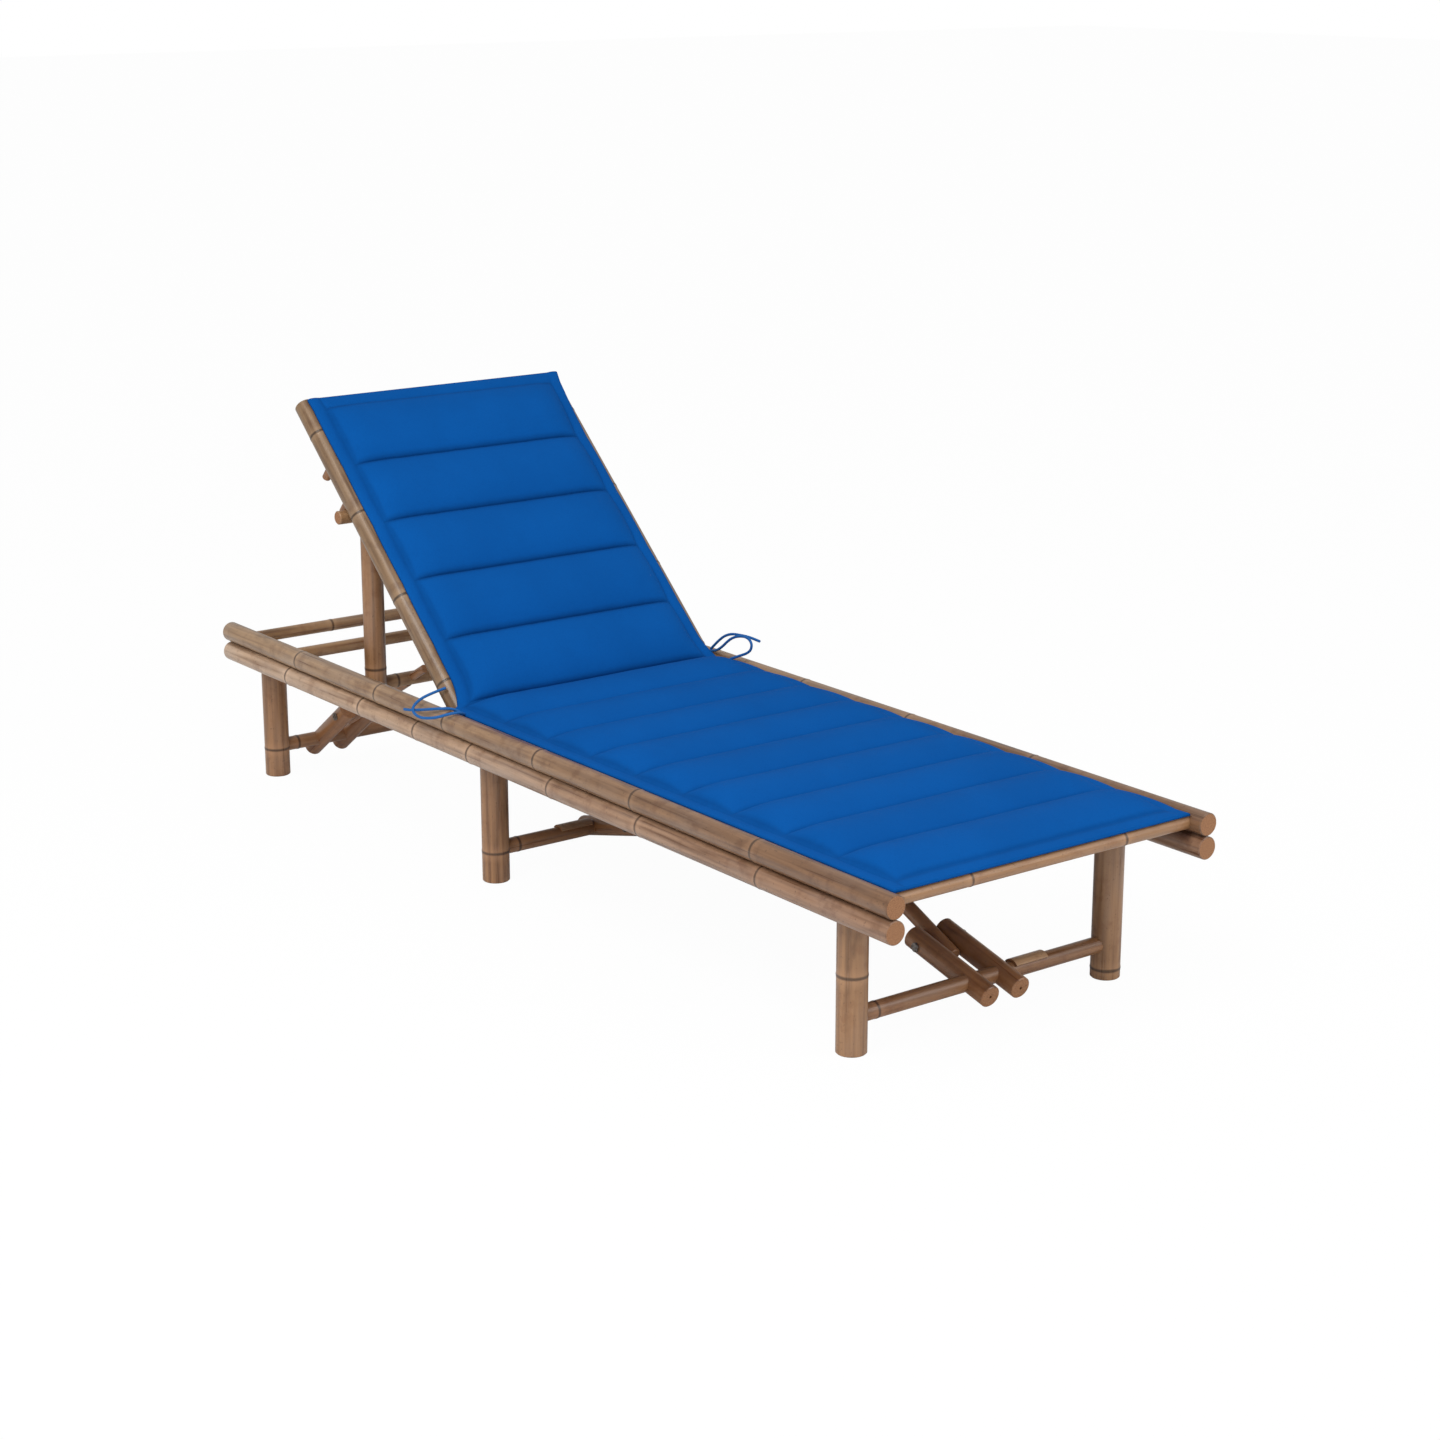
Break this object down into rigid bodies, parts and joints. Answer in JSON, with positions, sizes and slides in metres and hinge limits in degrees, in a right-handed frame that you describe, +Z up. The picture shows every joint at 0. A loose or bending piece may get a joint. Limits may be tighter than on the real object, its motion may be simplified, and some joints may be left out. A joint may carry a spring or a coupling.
{
  "type": "bamboo chaise longue",
  "caption": "Folding bamboo sun lounger on braced folding leg frames, with a reclining backrest held by a prop under catch pegs and a channelled cushion with ties.",
  "frame": {"origin": "on the floor under the middle of the frame", "axes": "+X towards the foot end, +Y to the sitter's left, +Z up"},
  "size_m": [2, 0.6927, 0.7713],
  "materials": {
    "cushion_fabric": "matte woven",
    "cord": "matte braided",
    "steel": "dull",
    "brace_bamboo": "satin",
    "slat_bamboo": "satin",
    "peg_wood": "matte",
    "leg_bamboo": "satin",
    "rail_bamboo": "satin"
  },
  "bodies": {
    "frame": {"backrest_hinge_rod": "peg_wood", "foot_crossbar": "rail_bamboo", "head_crossbar_inner": "rail_bamboo", "head_crossbar_outer": "rail_bamboo", "leg_pivot_pins": "peg_wood", "lower_rail_left": "rail_bamboo", "lower_rail_right": "rail_bamboo", "prop_pins": "peg_wood", "rail_dowels": "peg_wood", "seat_cushion": "cushion_fabric", "seat_slats": "slat_bamboo", "tie_left_loop": "cord", "tie_left_tail": "cord", "tie_right_loop": "cord", "tie_right_tail": "cord", "upper_rail_left": "rail_bamboo", "upper_rail_right": "rail_bamboo"},
    "backrest": {"backrest_pole_left": "rail_bamboo", "backrest_pole_right": "rail_bamboo", "back_slats": "slat_bamboo", "back_top_bar": "rail_bamboo", "catch_pegs": "peg_wood", "back_cushion": "cushion_fabric"},
    "prop": {"prop_upright_left": "rail_bamboo", "prop_upright_right": "rail_bamboo", "prop_top_bar": "rail_bamboo"},
    "front_legs": {"front_keeper": "brace_bamboo", "front_leg_left": "leg_bamboo", "front_leg_right": "leg_bamboo", "front_stretcher": "leg_bamboo"},
    "front_brace_arms": {"front_brace_arm_left": "brace_bamboo", "front_brace_arm_right": "brace_bamboo", "front_knee_bolt": "steel"},
    "front_brace_strut": {"front_brace_strut": "brace_bamboo", "front_brace_bar": "brace_bamboo"},
    "middle_legs": {"middle_keeper": "brace_bamboo", "middle_leg_left": "leg_bamboo", "middle_leg_right": "leg_bamboo", "middle_stretcher": "leg_bamboo"},
    "middle_brace_arms": {"middle_brace_arm_left": "brace_bamboo", "middle_brace_arm_right": "brace_bamboo", "middle_knee_bolt": "steel"},
    "middle_brace_strut": {"middle_brace_strut": "brace_bamboo", "middle_brace_bar": "brace_bamboo"},
    "rear_legs": {"rear_leg_left": "leg_bamboo", "rear_leg_right": "leg_bamboo", "rear_stretcher": "leg_bamboo"},
    "rear_brace_arms": {"rear_brace_arm_left": "brace_bamboo", "rear_brace_arm_right": "brace_bamboo", "rear_knee_bolt": "steel"},
    "rear_brace_strut": {"rear_brace_strut": "brace_bamboo", "rear_brace_bar": "brace_bamboo"}
  },
  "joints": [
    {"name": "backrest_recline", "type": "hinge", "parent": "frame", "child": "backrest", "pos_m": [-0.228, 0, 0.283], "axis": [0, -1, 0], "range_deg": [0, 38.5]},
    {"name": "prop_swing", "type": "hinge", "parent": "backrest", "child": "prop", "pos_m": [-0.59707, 0, 0.57252], "axis": [0, -1, 0], "range_deg": [0, 48]},
    {"name": "front_leg_fold", "type": "hinge", "parent": "frame", "child": "front_legs", "pos_m": [0.843, 0, 0.238], "axis": [0, 1, 0], "range_deg": [0, 80]},
    {"name": "front_arm_fold", "type": "hinge", "parent": "front_legs", "child": "front_brace_arms", "pos_m": [0.843, 0.005, 0.057], "axis": [0, 1, 0], "range_deg": [0, 71.27]},
    {"name": "front_strut_turn", "type": "hinge", "parent": "frame", "child": "front_brace_strut", "pos_m": [0.383, 0.005, 0.238], "axis": [0, -1, 0], "range_deg": [0, 22.96]},
    {"name": "middle_leg_fold", "type": "hinge", "parent": "frame", "child": "middle_legs", "pos_m": [-0.134, 0, 0.238], "axis": [0, -1, 0], "range_deg": [0, 80]},
    {"name": "middle_arm_fold", "type": "hinge", "parent": "middle_legs", "child": "middle_brace_arms", "pos_m": [-0.134, -0.012, 0.057], "axis": [0, -1, 0], "range_deg": [0, 71.27]},
    {"name": "middle_strut_turn", "type": "hinge", "parent": "frame", "child": "middle_brace_strut", "pos_m": [0.326, -0.012, 0.238], "axis": [0, 1, 0], "range_deg": [0, 22.96]},
    {"name": "rear_leg_fold", "type": "hinge", "parent": "frame", "child": "rear_legs", "pos_m": [-0.931, 0, 0.238], "axis": [0, -1, 0], "range_deg": [0, 80]},
    {"name": "rear_arm_fold", "type": "hinge", "parent": "rear_legs", "child": "rear_brace_arms", "pos_m": [-0.931, -0.13, 0.057], "axis": [0, -1, 0], "range_deg": [0, 52.11]},
    {"name": "rear_strut_turn", "type": "hinge", "parent": "frame", "child": "rear_brace_strut", "pos_m": [-0.63207, -0.13, 0.238], "axis": [0, 1, 0], "range_deg": [0, 27.31]}
  ],
  "couplings": [
    {"joint": "prop_swing", "follows": "backrest_recline", "ratio": 1.2468},
    {"joint": "front_arm_fold", "follows": "front_leg_fold", "ratio": 0.89084},
    {"joint": "front_strut_turn", "follows": "front_leg_fold", "ratio": 0.28699},
    {"joint": "middle_arm_fold", "follows": "middle_leg_fold", "ratio": 0.89084},
    {"joint": "middle_strut_turn", "follows": "middle_leg_fold", "ratio": 0.28699},
    {"joint": "rear_arm_fold", "follows": "rear_leg_fold", "ratio": 0.65138},
    {"joint": "rear_strut_turn", "follows": "rear_leg_fold", "ratio": 0.34141}
  ]
}
